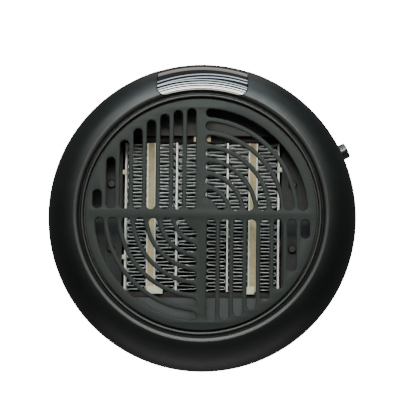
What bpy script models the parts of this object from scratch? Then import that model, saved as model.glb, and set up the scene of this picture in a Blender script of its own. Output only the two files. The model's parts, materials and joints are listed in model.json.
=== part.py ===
"""Round plug-in ceramic space heater, modelled as an assembly of separate parts.

Metres, +Z up. The origin is the middle of the plug face that meets the wall outlet, +Y points into
the wall, and the heater's axis runs along Y. Distances out from the wall are called heights (h = -y).
"""

import math

import bmesh
import bpy
from mathutils import Matrix, Vector

MM = 0.001
GAP = 0.3 * MM  # between neighbouring pieces

# Case
CASE_R = 87.5 * MM
CASE_BACK = 24.0 * MM
CASE_DEPTH = 66.0 * MM
SEAM = 56.0 * MM  # height of the seam, where the case is widest
WALL = 2.5 * MM
CREST_INSET = 18.6 * MM  # from the widest radius in to the rim's crest
BACK_ROUNDING = 17.5 * MM  # from the widest radius in to the flat back
CASE_STEPS = 48

# Grille and the bore that it sits in
GRILLE_R = 63.9 * MM
GRILLE_T = 2.6 * MM
GRILLE_RECESS = 1.8 * MM  # of its front below the rim's crest
GRILLE_GAP = 0.9 * MM
GRILLE_EDGE = 0.9 * MM  # rounding of its front edge
SLEEVE_WALL = 1.6 * MM
LEDGE = 2.4 * MM
SLOT_W = 4.9 * MM
SLOT_PITCH = 7.4 * MM
SLOT_FIRST = 5.7 * MM  # first straight slot's middle from the upright bar's middle
SLOT_MARGIN = 4.9 * MM  # solid rim outside the slots
BAR_HALF = 2.6 * MM
ARC_FIRST = 12.0 * MM
ARC_END = 2.3 * MM

# Window in the rim
WINDOW_HALF = 25.0 * MM
WINDOW_LAND = 3.8 * MM  # from the grille's bore out to its lower edge
WINDOW_CORNER = 3.0 * MM
WINDOW_T = 2.0 * MM
WINDOW_SINK = 0.1 * MM  # of its surface below the rim's
WINDOW_END = 5.0 * MM  # from the seam to its rear edge

# Baffle and ceramic core
BAFFLE_T = 2.0 * MM
BAFFLE_R = 72.0 * MM
BAFFLE_BACK = 66.0 * MM
BAFFLE_MARGIN_X = 1.7 * MM  # of its opening beyond the core
BAFFLE_MARGIN_Z = 3.8 * MM
CORE_FRONT = 64.0 * MM
CORE_DEPTH = 12.0 * MM
CORE_HALF_Z = 42.0 * MM
CORE_PITCH = 28.8 * MM  # plate to plate
PLATE_T = 1.0 * MM
STRIP_W = 5.0 * MM
FIN_LEGS = 43
FIN_T = 0.35 * MM
HOLDER_Z = 5.2 * MM
HOLDER_T = 10.0 * MM

# Fan
SHROUD_R = 48.0 * MM
SHROUD_WALL = 2.0 * MM
SHROUD_BACK = 34.0 * MM
SHROUD_FRONT = 51.0 * MM
POST_CLEAR = 7.8 * MM  # from the outer core plates out to the posts
POST_Z = 18.0 * MM
POST_R = 3.5 * MM
POST_BITE = 0.5 * MM  # least overlap of post and shroud
FLANGE_RIM = 4.5 * MM  # of the shroud's flange beyond its posts, over the intake slots
MOTOR_R = 12.5 * MM
MOTOR_BACK = 36.3 * MM
MOTOR_FRONT = 46.0 * MM
HUB_R = 17.0 * MM
HUB_WALL = 1.8 * MM
HUB_BACK = 37.5 * MM
HUB_FRONT = 49.5 * MM
FAN_BLADES = 7
FAN_R = 44.5 * MM
BLADE_T = 1.2 * MM
SHAFT_R = 1.5 * MM
BUSH_R = 3.6 * MM
BUSH_L = 2.4 * MM

# Turning plug
PLUG_FACE_R = 20.0 * MM
NECK_R = 23.7 * MM
NECK_FLARE = 8.0 * MM
FLANGE_LIP = 4.3 * MM
FLANGE_IN_T = 3.0 * MM
RETAINER_IN_R = 19.5 * MM
RETAINER_RIM = 6.0 * MM
RETAINER_T = 2.0 * MM
PIN_PITCH = 12.7 * MM
PIN_T = 1.5 * MM
PIN_W = 6.35 * MM
PIN_L = 17.0 * MM
RING_T = 0.8 * MM

# Side button
BUTTON_ANGLE = math.radians(26.0)
BUTTON_H = 47.0 * MM
BUTTON_R = 4.5 * MM
BUTTON_PROUD = 5.0 * MM
BUTTON_TRAVEL = 2.0 * MM
BUTTON_LIP = 1.4 * MM
SWITCH_LENGTH = 9.0 * MM
SWITCH_HALF = 6.0 * MM
SPRING_LENGTH = 7.6 * MM
SPRING_WIRE = 0.28 * MM  # wire radius
SPRING_R = 2.7 * MM
BUTTON_FLANGE_R = 6.0 * MM

# Case screws
SCREW_RING = 71.0 * MM
SCREW_HEAD_R = 2.9 * MM
SCREW_HEAD_T = 2.0 * MM
SCREW_R = 1.4 * MM
WELL_R = 5.2 * MM
WELL_BORE_R = 3.6 * MM
WELL_FLOOR = 2.0 * MM
BOSS_R = 3.4 * MM

# Intake slots
INTAKE_COUNT = 24
INTAKE_W = 3.6 * MM
INTAKE_IN = 47.0 * MM
INTAKE_OUT = 62.0 * MM

# Main board, at the bottom behind the fan
BOARD_T = 1.6 * MM
BOARD_BACK = 38.0 * MM
BOARD_HALF = 28.0 * MM
BOARD_LOW = -74.0 * MM
BOARD_HIGH = -52.0 * MM
PILLAR_R = 2.5 * MM
PILLAR_X = 19.0 * MM
PILLAR_Z = -64.5 * MM

# Baffle screws
BAFFLE_SCREW_R = 1.2 * MM
BAFFLE_SCREW_HEAD_R = 2.4 * MM
BAFFLE_SCREW_HEAD_T = 1.4 * MM
BAFFLE_SCREW_BITE = 8.0 * MM

# Small details
OVERCUT = 1.0 * MM  # a cutter's reach beyond the piece it cuts
SPIDER_T = 2.0 * MM
ARM_STEP = 0.3 * MM  # arms lie below the faces of what they join
BUSH_HOLE = BUSH_R + GAP

# Heights that follow from the sizes above
CASE_FRONT = CASE_BACK + CASE_DEPTH
GRILLE_FRONT = CASE_FRONT - GRILLE_RECESS
GRILLE_BACK = GRILLE_FRONT - GRILLE_T
BORE_R = GRILLE_R + GRILLE_GAP
SLEEVE_R = BORE_R + SLEEVE_WALL
BAFFLE_FRONT = BAFFLE_BACK + BAFFLE_T
SLEEVE_BACK = BAFFLE_FRONT + GAP
CORE_BACK = CORE_FRONT - CORE_DEPTH
CORE_HALF_X = 1.5 * CORE_PITCH
SLOT_REACH = GRILLE_R - SLOT_MARGIN
WINDOW_FOOT = BORE_R + WINDOW_LAND
BAFFLE_OPEN_X = CORE_HALF_X + BAFFLE_MARGIN_X
BAFFLE_OPEN_Z = CORE_HALF_Z + BAFFLE_MARGIN_Z
POST_X = max(CORE_HALF_X + POST_CLEAR, SHROUD_R + POST_R - POST_BITE)
FLANGE_R = math.hypot(POST_X, POST_Z) + POST_R + FLANGE_RIM
FLANGE_IN_R = NECK_R + FLANGE_LIP
RETAINER_R = FLANGE_IN_R + RETAINER_RIM
FLANGE_IN_BACK = CASE_BACK + WALL + GAP
FLANGE_IN_FRONT = FLANGE_IN_BACK + FLANGE_IN_T


FACING_OUT = Matrix.Rotation(math.radians(90), 4, "X")  # local z becomes height above the wall


# --------------------------------------------------------------------------------------------------
# Scene and modelling helpers
# --------------------------------------------------------------------------------------------------

for old in list(bpy.data.objects):
    bpy.data.objects.remove(old, do_unlink=True)

parts = bpy.data.collections.new("ceramic_space_heater")
cutters = bpy.data.collections.new("cutters")
bpy.context.scene.collection.children.link(parts)
bpy.context.scene.collection.children.link(cutters)


def material(name, colour, roughness, metallic=0.0):
    """A plain Principled material."""
    made = bpy.data.materials.new(name)
    made.use_nodes = True
    shader = made.node_tree.nodes["Principled BSDF"]
    shader.inputs["Base Color"].default_value = (*colour, 1.0)
    shader.inputs["Roughness"].default_value = roughness
    shader.inputs["Metallic"].default_value = metallic
    return made


def finish_part(piece, name, colour, roughness=0.5, metallic=0.0):
    """Name a piece, give it a material of its own, shade it and file it with the parts."""
    piece.name = name
    piece.data.name = name
    piece.data.materials.clear()
    piece.data.materials.append(material(name, colour, roughness, metallic))
    for holder in list(piece.users_collection):
        holder.objects.unlink(piece)
    parts.objects.link(piece)
    piece.data.shade_smooth()
    piece.data.set_sharp_from_angle(angle=math.radians(35))
    return piece


def new_object(name, data):
    made = bpy.data.objects.new(name, data)
    cutters.objects.link(made)
    made.hide_render = True
    made.display_type = "WIRE"
    return made


def show(piece):
    piece.hide_render = False
    piece.display_type = "TEXTURED"
    return piece


def baked(piece):
    """The piece with its modifiers, rotation and place applied, as a plain mesh in world space."""
    bpy.context.view_layer.update()
    seen = piece.evaluated_get(bpy.context.evaluated_depsgraph_get())
    mesh = bpy.data.meshes.new_from_object(seen)
    mesh.transform(piece.matrix_world)
    work = bmesh.new()
    work.from_mesh(mesh)
    bmesh.ops.remove_doubles(work, verts=work.verts, dist=1e-6)
    bmesh.ops.recalc_face_normals(work, faces=work.faces)
    work.to_mesh(mesh)
    work.free()
    name = piece.name
    bpy.data.objects.remove(piece, do_unlink=True)
    return show(new_object(name, mesh))


def join_bodies(piece, others, operation="UNION"):
    """Boolean the others into the piece one after another, and remove them."""
    for other in others:
        step = piece.modifiers.new(operation.lower(), "BOOLEAN")
        step.operation = operation
        step.solver = "EXACT"
        step.object = other
    made = baked(piece)
    for other in others:
        bpy.data.objects.remove(other, do_unlink=True)
    return made


def one_cutter(name, shapes):
    """Several separate solids as one cutter."""
    work = bmesh.new()
    for shape in shapes:
        solid = baked(shape)
        work.from_mesh(solid.data)
        bpy.data.objects.remove(solid, do_unlink=True)
    mesh = bpy.data.meshes.new(name)
    work.to_mesh(mesh)
    work.free()
    return new_object(name, mesh)


def turned(name, profile, steps=32, closed=True, place=None):
    """A turned solid about the heater's axis: profile points (radius, height) run down the outer side."""
    mesh = bpy.data.meshes.new(name)
    edges = [(i, i + 1) for i in range(len(profile) - 1)]
    if closed:
        edges.append((len(profile) - 1, 0))
    mesh.from_pydata([(r, 0.0, h) for r, h in profile], edges, [])
    piece = new_object(name, mesh)
    screw = piece.modifiers.new("turn", "SCREW")
    screw.axis = "Z"
    screw.angle = math.tau
    screw.steps = steps
    screw.render_steps = steps
    screw.use_merge_vertices = True
    screw.merge_threshold = 1e-5
    piece.matrix_world = place if place else FACING_OUT
    return baked(piece)


def prism(name, outline, low, high):
    """A flat outline of (x, z) points given thickness between two heights above the wall."""
    curve = bpy.data.curves.new(name, "CURVE")
    curve.dimensions = "2D"
    curve.fill_mode = "BOTH"
    curve.extrude = (high - low) / 2
    spline = curve.splines.new("POLY")
    spline.points.add(len(outline) - 1)
    for point, (x, z) in zip(spline.points, outline):
        point.co = (x, z, 0.0, 1.0)
    spline.use_cyclic_u = True
    piece = new_object(name, curve)
    piece.matrix_world = Matrix.Translation((0.0, -(low + high) / 2, 0.0)) @ FACING_OUT
    return baked(piece)


def block(name, x, z, h, bevel=0.0, turn=None):
    """A box between pairs of x, z and height, with an optional bevel and a turn about its middle."""
    size = Vector((x[1] - x[0], h[1] - h[0], z[1] - z[0]))
    middle = Vector(((x[0] + x[1]) / 2, -(h[0] + h[1]) / 2, (z[0] + z[1]) / 2))
    work = bmesh.new()
    bmesh.ops.create_cube(work, size=1.0)
    bmesh.ops.scale(work, vec=size, verts=work.verts)
    mesh = bpy.data.meshes.new(name)
    work.to_mesh(mesh)
    work.free()
    piece = new_object(name, mesh)
    if bevel:
        edge = piece.modifiers.new("edge", "BEVEL")
        edge.width = bevel
        edge.segments = 1
    piece.matrix_world = Matrix.Translation(middle) @ (turn if turn else Matrix.Identity(4))
    return baked(piece)


def disc(name, radius, low, high, x=0.0, z=0.0, steps=24):
    """A cylinder along the heater's axis."""
    work = bmesh.new()
    size = {"radius1": radius, "radius2": radius, "depth": high - low}
    bmesh.ops.create_cone(work, cap_ends=True, segments=steps, **size)
    mesh = bpy.data.meshes.new(name)
    work.to_mesh(mesh)
    work.free()
    piece = new_object(name, mesh)
    piece.matrix_world = Matrix.Translation((x, -(low + high) / 2, z)) @ FACING_OUT
    return baked(piece)


def wire(name, route, radius, sides=2):
    """A round wire along a list of points."""
    curve = bpy.data.curves.new(name, "CURVE")
    curve.dimensions = "3D"
    curve.bevel_depth = radius
    curve.bevel_resolution = sides
    curve.use_fill_caps = True
    spline = curve.splines.new("POLY")
    spline.points.add(len(route) - 1)
    for point, place in zip(spline.points, route):
        point.co = (*place, 1.0)
    return baked(new_object(name, curve))


def arc(radius, start, end, count):
    """Points on a circle about the axis, ends included."""
    turns = [start + (end - start) * i / count for i in range(count + 1)]
    return [(radius * math.cos(turn), radius * math.sin(turn)) for turn in turns]


def moved(points, x, z):
    return [(px + x, pz + z) for px, pz in points]


def hollow_curve(centre_r, centre_h, across, along, start, end, count):
    """Points on an ellipse of a turned profile, by angle from straight out."""
    made = []
    for i in range(count + 1):
        turn = start + (end - start) * i / count
        made.append((centre_r + across * math.cos(turn), centre_h + along * math.sin(turn)))
    return made


def held_at(piece, point):
    """Moves a piece's origin to a point, leaving its shape where it is."""
    piece.data.transform(Matrix.Translation(-Vector(point)))
    piece.location = point
    return piece


# --------------------------------------------------------------------------------------------------
# Case
# --------------------------------------------------------------------------------------------------

BLACK = (0.018, 0.020, 0.019)
DARK_GREY = (0.035, 0.040, 0.038)
LIP = GRILLE_FRONT + 0.6 * MM
SCREW_TURNS = [math.radians(45 + 90 * quarter) for quarter in range(4)]
SCREW_PLACES = [(SCREW_RING * math.cos(turn), SCREW_RING * math.sin(turn)) for turn in SCREW_TURNS]
BAFFLE_SCREWS = [(x, z) for x in (-POST_X, POST_X) for z in (-POST_Z, POST_Z)]
WELL_TOP = SEAM - 4.0 * MM


def each_at(places, name, radius, low, high, steps):
    """A cylinder along the heater's axis at each (x, z) place."""
    return [disc(name, radius, low, high, x, z, steps) for x, z in places]


def rim(inset, start, end, count):
    """The rim's cross-section between its crest (90 degrees) and the seam (0), at an inset."""
    across = CREST_INSET - inset
    along = CASE_FRONT - SEAM - inset
    turns = (math.radians(start), math.radians(end))
    return hollow_curve(CASE_R - CREST_INSET, SEAM, across, along, *turns, count)


def window_outline(grow):
    """Front view of the window: upright sides and a lower edge that follows the grille."""
    half = WINDOW_HALF + grow
    foot = WINDOW_FOOT - grow
    corner = WINDOW_CORNER
    turn = math.acos((half - corner) / foot)
    low = arc(foot, math.pi - turn, turn, 10)
    rise = foot * math.sin(math.acos(half / foot)) + corner
    top = CASE_R + 6.0 * MM
    return [(-half, top), (-half, rise + corner * 0.4)] + low + [(half, rise + corner * 0.4), (half, top)]


def front_bezel():
    profile = [
        (BORE_R, LIP - 1.4 * MM),
        (BORE_R + 0.3 * MM, LIP - 0.4 * MM),
        (BORE_R + 0.9 * MM, LIP),
        (BORE_R + 1.6 * MM, LIP - 0.2 * MM),
        (BORE_R + 2.3 * MM, LIP - 1.0 * MM),
        (BORE_R + 3.0 * MM, LIP + 0.1 * MM),
        (BORE_R + 3.4 * MM, CASE_FRONT - 0.4 * MM),
    ]
    profile += rim(0.0, 90, 0, 6)
    profile += rim(WALL, 0, 90, 3)
    ledge_front = GRILLE_BACK - GAP
    ledge_back = ledge_front - 2.0 * MM
    profile += [
        (BORE_R + 2.6 * MM, LIP - 3.0 * MM),
        (SLEEVE_R, LIP - 4.4 * MM),
        (SLEEVE_R, SLEEVE_BACK),
        (BORE_R, SLEEVE_BACK),
        (BORE_R, ledge_back),
        (BORE_R - LEDGE, ledge_back),
        (BORE_R - LEDGE, ledge_front),
        (BORE_R, ledge_front),
    ]
    shell = turned("front_bezel", profile, CASE_STEPS)
    boss_top = LIP - 2.1 * MM
    shell = join_bodies(shell, each_at(SCREW_PLACES, "boss", BOSS_R, WELL_TOP + GAP, boss_top, 14))
    holes = each_at(SCREW_PLACES, "hole", SCREW_R + GAP, SEAM - 5.0 * MM, SEAM + 12.0 * MM, 10)
    window = prism("window", window_outline(GAP), SEAM + WINDOW_END - GAP, CASE_FRONT + 5.0 * MM)
    shell = join_bodies(shell, [one_cutter("bezel_cuts", holes + [window])], "DIFFERENCE")
    return finish_part(shell, "front_bezel", BLACK, 0.42)


def display_window():
    sink = WINDOW_SINK
    behind = WINDOW_SINK + WINDOW_T
    profile = [
        (BORE_R + 3.0 * MM, LIP + 0.1 * MM - sink),
        (BORE_R + 3.4 * MM, CASE_FRONT - 0.4 * MM - sink),
    ]
    profile += rim(sink, 90, 0, 6)
    profile += rim(behind, 0, 90, 6)
    profile += [
        (BORE_R + 3.4 * MM, CASE_FRONT - 0.4 * MM - behind),
        (BORE_R + 3.0 * MM, LIP + 0.1 * MM - behind),
    ]
    ring = turned("display_window", profile, CASE_STEPS)
    outline = prism("outline", window_outline(0.0), SEAM + WINDOW_END, CASE_FRONT + 5.0 * MM)
    pane = join_bodies(ring, [outline], "INTERSECT")
    return finish_part(pane, "display_window", (0.01, 0.012, 0.014), 0.05)


def round_slot(name, x, low, high, width):
    """An upright slot with round ends."""
    r = width / 2
    ends = arc(r, 0.0, math.pi, 5)
    upper = moved(ends, x, high - r)
    lower = moved([(-px, -pz) for px, pz in ends], x, low + r)
    return prism(name, upper + lower, GRILLE_BACK - OVERCUT, GRILLE_FRONT + OVERCUT)


def arc_slot(name, middle, side):
    """A slot round the middle with round ends, in the upper right (side 1) or lower left (side -1)."""
    r = SLOT_W / 2
    start = math.asin((ARC_END + r) / middle)
    end = math.pi / 2 - math.asin((ARC_END + r) / middle)
    steps = 4 + round(middle / (14 * MM))
    outer = arc(middle + r, start, end, steps)
    inner = arc(middle - r, end, start, steps)
    far = [middle * math.cos(end), middle * math.sin(end)]
    near = [middle * math.cos(start), middle * math.sin(start)]
    cap_far = moved(arc(r, end, end + math.pi, 4), *far)[1:-1]
    cap_near = moved(arc(r, start + math.pi, start + math.tau, 4), *near)[1:-1]
    points = outer + cap_far + inner + cap_near
    outline = [(side * px, side * pz) for px, pz in points]
    return prism(name, outline, GRILLE_BACK - OVERCUT, GRILLE_FRONT + OVERCUT)


def front_grille():
    edge = GRILLE_EDGE
    profile = [
        (0.0, GRILLE_FRONT),
        (GRILLE_R - edge, GRILLE_FRONT),
        (GRILLE_R - 0.3 * edge, GRILLE_FRONT - 0.3 * edge),
        (GRILLE_R, GRILLE_FRONT - edge),
        (GRILLE_R, GRILLE_BACK),
        (0.0, GRILLE_BACK),
    ]
    plate = turned("front_grille", profile, CASE_STEPS, closed=False)
    slots = []
    x = SLOT_FIRST
    while SLOT_REACH > x and math.sqrt(SLOT_REACH**2 - x**2) - BAR_HALF > 2 * SLOT_W:
        reach = math.sqrt(SLOT_REACH**2 - x**2)
        slots.append(round_slot("slot", -x, BAR_HALF, reach, SLOT_W))
        slots.append(round_slot("slot", x, -reach, -BAR_HALF, SLOT_W))
        x += SLOT_PITCH
    middle = ARC_FIRST
    while middle + SLOT_W / 2 < SLOT_REACH:
        slots.append(arc_slot("slot", middle, 1))
        slots.append(arc_slot("slot", middle, -1))
        middle += SLOT_PITCH
    plate = join_bodies(plate, [one_cutter("grille_slots", slots)], "DIFFERENCE")
    return finish_part(plate, "front_grille", DARK_GREY, 0.5)


def rear_curve(inset, start, end, count):
    """The back shell's rounded corner from the seam (0 degrees) to the flat back (-90)."""
    top = SEAM - GAP
    across = BACK_ROUNDING - inset
    along = top - CASE_BACK - inset
    turns = (math.radians(start), math.radians(end))
    return hollow_curve(CASE_R - BACK_ROUNDING, top, across, along, *turns, count)


def intake_slot(turn):
    """A radial slot with round ends through the flat back, at an angle round the axis."""
    r = INTAKE_W / 2
    ends = arc(r, 0.0, math.pi, 3)
    far = moved(ends, 0.0, INTAKE_OUT - r)
    near = moved([(-px, -pz) for px, pz in ends], 0.0, INTAKE_IN + r)
    c = math.cos(turn)
    s = math.sin(turn)
    outline = [(px * c - pz * s, px * s + pz * c) for px, pz in far + near]
    return prism("intake", outline, CASE_BACK - OVERCUT, CASE_BACK + WALL + OVERCUT)


def rear_housing():
    top = SEAM - GAP
    neck_hole = NECK_R + GAP
    tongue_out = CASE_R - WALL - 0.5 * MM
    tongue_in = tongue_out - 2.2 * MM
    profile = rear_curve(0.0, 0, -90, 5)
    profile += [(neck_hole, CASE_BACK), (neck_hole, CASE_BACK + WALL)]
    profile += rear_curve(WALL, -90, -20, 3)
    profile += [
        (tongue_in, top - 6.5 * MM),
        (tongue_in, top + 2.8 * MM),
        (tongue_out, top + 2.8 * MM),
        (tongue_out, top),
    ]
    shell = turned("rear_housing", profile, CASE_STEPS)
    inside = CASE_BACK + WALL - 0.2 * MM
    pillar_places = [(-PILLAR_X, PILLAR_Z), (PILLAR_X, PILLAR_Z)]
    posts = each_at(SCREW_PLACES, "well", WELL_R, inside, WELL_TOP, 16)
    posts += each_at(pillar_places, "pillar", PILLAR_R, inside, BOARD_BACK - GAP, 10)
    shell = join_bodies(shell, posts)
    well_floor = WELL_TOP - WELL_FLOOR
    bores = each_at(SCREW_PLACES, "bore", WELL_BORE_R, CASE_BACK - 5.0 * MM, well_floor, 16)
    holes = each_at(SCREW_PLACES, "hole", SCREW_R + GAP, SEAM - 10.0 * MM, SEAM, 10)
    slots = [intake_slot(math.tau * (i + 0.5) / INTAKE_COUNT) for i in range(INTAKE_COUNT)]
    button_hole = radial_disc("button_hole", BUTTON_R + GAP, CASE_R - 10.0 * MM, CASE_R + 10.0 * MM)
    shell = join_bodies(shell, [one_cutter("bores", bores)], "DIFFERENCE")
    shell = join_bodies(shell, [one_cutter("rear_cuts", holes + slots + [button_hole])], "DIFFERENCE")
    return finish_part(shell, "rear_housing", BLACK, 0.45)


def round_screw(name, head_r, head_low, head_high, shank_r, shank_end, x, z):
    """A pan-head screw along the heater's axis; the shank ends at shank_end."""
    edge = 0.5 * MM
    if shank_end > head_high:
        profile = [(0.0, shank_end), (shank_r, shank_end), (shank_r, head_high), (head_r, head_high)]
        profile += [(head_r, head_low + edge), (head_r - edge, head_low), (0.0, head_low)]
    else:
        profile = [(0.0, head_high), (head_r - edge, head_high), (head_r, head_high - edge)]
        profile += [(head_r, head_low), (shank_r, head_low), (shank_r, shank_end), (0.0, shank_end)]
    place = Matrix.Translation((x, 0.0, z)) @ FACING_OUT
    piece = turned(name, profile, 12, closed=False, place=place)
    return finish_part(piece, name, (0.45, 0.45, 0.46), 0.35, 1.0)


# --------------------------------------------------------------------------------------------------
# Side button, its spring and switch
# --------------------------------------------------------------------------------------------------

BUTTON_OUT = Vector((math.cos(BUTTON_ANGLE), 0.0, math.sin(BUTTON_ANGLE)))
BUTTON_FRONT = CASE_R + BUTTON_PROUD
BUTTON_FLANGE = CASE_R - 5.8 * MM
BUTTON_BACK = BUTTON_FLANGE - BUTTON_LIP
SPRING_FOOT = BUTTON_BACK - GAP - SPRING_LENGTH
SWITCH_FRONT = SPRING_FOOT - GAP
STEM_END = SWITCH_FRONT + BUTTON_TRAVEL + GAP


def along_button():
    """Turns local z to point out of the case along the button's travel."""
    turn = Matrix.Rotation(math.radians(90) - BUTTON_ANGLE, 4, "Y")
    return Matrix.Translation((0.0, -BUTTON_H, 0.0)) @ turn


def radial_disc(name, radius, low, high):
    profile = [(0.0, high), (radius, high), (radius, low), (0.0, low)]
    return turned(name, profile, 24, closed=False, place=along_button())


def side_button():
    edge = 0.8 * MM
    profile = [
        (0.0, BUTTON_FRONT),
        (BUTTON_R - edge, BUTTON_FRONT - 0.15 * MM),
        (BUTTON_R - 0.25 * edge, BUTTON_FRONT - 0.45 * MM),
        (BUTTON_R, BUTTON_FRONT - edge - 0.15 * MM),
        (BUTTON_R, BUTTON_FLANGE),
        (BUTTON_FLANGE_R, BUTTON_FLANGE),
        (BUTTON_FLANGE_R, BUTTON_BACK),
        (1.4 * MM, BUTTON_BACK),
        (1.4 * MM, STEM_END),
        (0.0, STEM_END),
    ]
    piece = turned("side_button", profile, 24, closed=False, place=along_button())
    held_at(piece, BUTTON_OUT * CASE_R + Vector((0.0, -BUTTON_H, 0.0)))
    return finish_part(piece, "side_button", (0.012, 0.012, 0.013), 0.22)


def button_spring():
    turns = 3.5
    per_turn = 7
    count = int(turns * per_turn)
    place = along_button()
    route = []
    for i in range(count + 1):
        a = math.tau * i / per_turn
        low = SPRING_FOOT + SPRING_WIRE
        high = BUTTON_BACK - GAP - SPRING_WIRE
        rise = low + (high - low) * i / count
        route.append(place @ Vector((SPRING_R * math.cos(a), SPRING_R * math.sin(a), rise)))
    piece = wire("button_spring", route, SPRING_WIRE)
    return finish_part(piece, "button_spring", (0.6, 0.6, 0.62), 0.3, 1.0)


def power_switch():
    half = SWITCH_HALF
    middle = SWITCH_FRONT - SWITCH_LENGTH / 2
    turn = Matrix.Rotation(-BUTTON_ANGLE, 4, "Y")
    spot = BUTTON_OUT * middle
    x = (spot.x - SWITCH_LENGTH / 2, spot.x + SWITCH_LENGTH / 2)
    z = (spot.z - half, spot.z + half)
    piece = block("power_switch", x, z, (BUTTON_H - half, BUTTON_H + half), 0.5 * MM, turn)
    return finish_part(piece, "power_switch", (0.03, 0.03, 0.032), 0.5)


# --------------------------------------------------------------------------------------------------
# Baffle and ceramic core
# --------------------------------------------------------------------------------------------------

def baffle_plate():
    plate = disc("baffle_plate", BAFFLE_R, BAFFLE_BACK, BAFFLE_FRONT, steps=CASE_STEPS)
    through = (BAFFLE_BACK - OVERCUT, BAFFLE_FRONT + OVERCUT)
    across = (-BAFFLE_OPEN_X, BAFFLE_OPEN_X)
    cuts = [block("opening", across, (-BAFFLE_OPEN_Z, BAFFLE_OPEN_Z), through)]
    cuts += each_at(SCREW_PLACES, "notch", BOSS_R + GAP, *through, 14)
    cuts += each_at(BAFFLE_SCREWS, "hole", BAFFLE_SCREW_R + GAP, *through, 10)
    plate = join_bodies(plate, [one_cutter("baffle_cuts", cuts)], "DIFFERENCE")
    return finish_part(plate, "baffle_plate", DARK_GREY, 0.55)


def core():
    plates = [(i - 1.5) * CORE_PITCH for i in range(4)]
    strips = [(i - 1.0) * CORE_PITCH for i in range(3)]
    depth = (CORE_BACK, CORE_FRONT)
    strip_depth = (CORE_BACK + 0.5 * MM, CORE_FRONT - 0.5 * MM)
    span = (-CORE_HALF_Z, CORE_HALF_Z)
    for i, x in enumerate(plates):
        name = f"core_plate_{i + 1}"
        piece = block(name, (x - PLATE_T / 2, x + PLATE_T / 2), span, depth)
        finish_part(piece, name, (0.75, 0.75, 0.72), 0.4, 0.6)
    for i, x in enumerate(strips):
        name = f"ptc_strip_{i + 1}"
        piece = block(name, (x - STRIP_W / 2, x + STRIP_W / 2), span, strip_depth)
        finish_part(piece, name, (0.45, 0.38, 0.27), 0.6)
    for i in range(6):
        left = plates[i // 2] + PLATE_T / 2 if i % 2 == 0 else strips[i // 2] + STRIP_W / 2
        right = strips[i // 2] - STRIP_W / 2 if i % 2 == 0 else plates[i // 2 + 1] - PLATE_T / 2
        fin_row(f"fin_row_{i + 1}", left + GAP, right - GAP)


def fin_row(name, left, right):
    """One corrugated fin: a zigzag strip, each leg crossing the row."""
    rise = (2 * CORE_HALF_Z - FIN_T) / FIN_LEGS
    edge = [(left if i % 2 == 0 else right, -CORE_HALF_Z + rise * i) for i in range(FIN_LEGS + 1)]
    outline = edge + [(x, z + FIN_T) for x, z in reversed(edge)]
    piece = prism(name, outline, CORE_BACK, CORE_FRONT)
    finish_part(piece, name, (0.7, 0.7, 0.7), 0.35, 0.9)


def core_fittings():
    half_x = CORE_HALF_X + 2.8 * MM
    low = CORE_HALF_Z + GAP
    holder_h = (CORE_FRONT - HOLDER_T - MM, CORE_FRONT - MM)
    holders = {"core_holder_top": (low, low + HOLDER_Z), "core_holder_bottom": (-low - HOLDER_Z, -low)}
    for name, z in holders.items():
        piece = block(name, (-half_x, half_x), z, holder_h, 0.4 * MM)
        finish_part(piece, name, (0.035, 0.022, 0.018), 0.6)
    front = CORE_FRONT + GAP
    foot = (-CORE_HALF_Z - 1.6 * MM, -CORE_HALF_Z + 2.8 * MM)
    spans = {
        "insulator_left": (-CORE_PITCH - 2.1 * MM, -CORE_PITCH + 7.1 * MM),
        "insulator_right": (CORE_PITCH - 3.8 * MM, CORE_PITCH + 1.2 * MM),
    }
    for name, x in spans.items():
        piece = block(name, x, foot, (front, front + 1.3 * MM), 0.3 * MM)
        finish_part(piece, name, (0.75, 0.74, 0.55), 0.6)
    tab_z = (low + 0.3 * MM, low + 4.4 * MM)
    tab_h = (CORE_FRONT - 0.7 * MM, CORE_FRONT + 1.4 * MM)
    for name, x in (("terminal_left", -3.9 * MM), ("terminal_right", 3.5 * MM)):
        piece = block(name, (x - 1.1 * MM, x + 1.1 * MM), tab_z, tab_h)
        finish_part(piece, name, (0.6, 0.52, 0.38), 0.5, 0.3)
    side = CORE_HALF_X + 1.4 * MM
    clips = ((-side, 25.0 * MM), (-side, -23.0 * MM), (side, 27.0 * MM))
    for i, (x, z) in enumerate(clips):
        name = f"core_clip_{i + 1}"
        across = (x - 1.9 * MM, x + 1.9 * MM)
        up = (z - 1.3 * MM, z + 1.3 * MM)
        piece = block(name, across, up, (front, front + 1.3 * MM), 0.3 * MM)
        finish_part(piece, name, (0.8, 0.8, 0.78), 0.5)


# --------------------------------------------------------------------------------------------------
# Fan
# --------------------------------------------------------------------------------------------------

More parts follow.
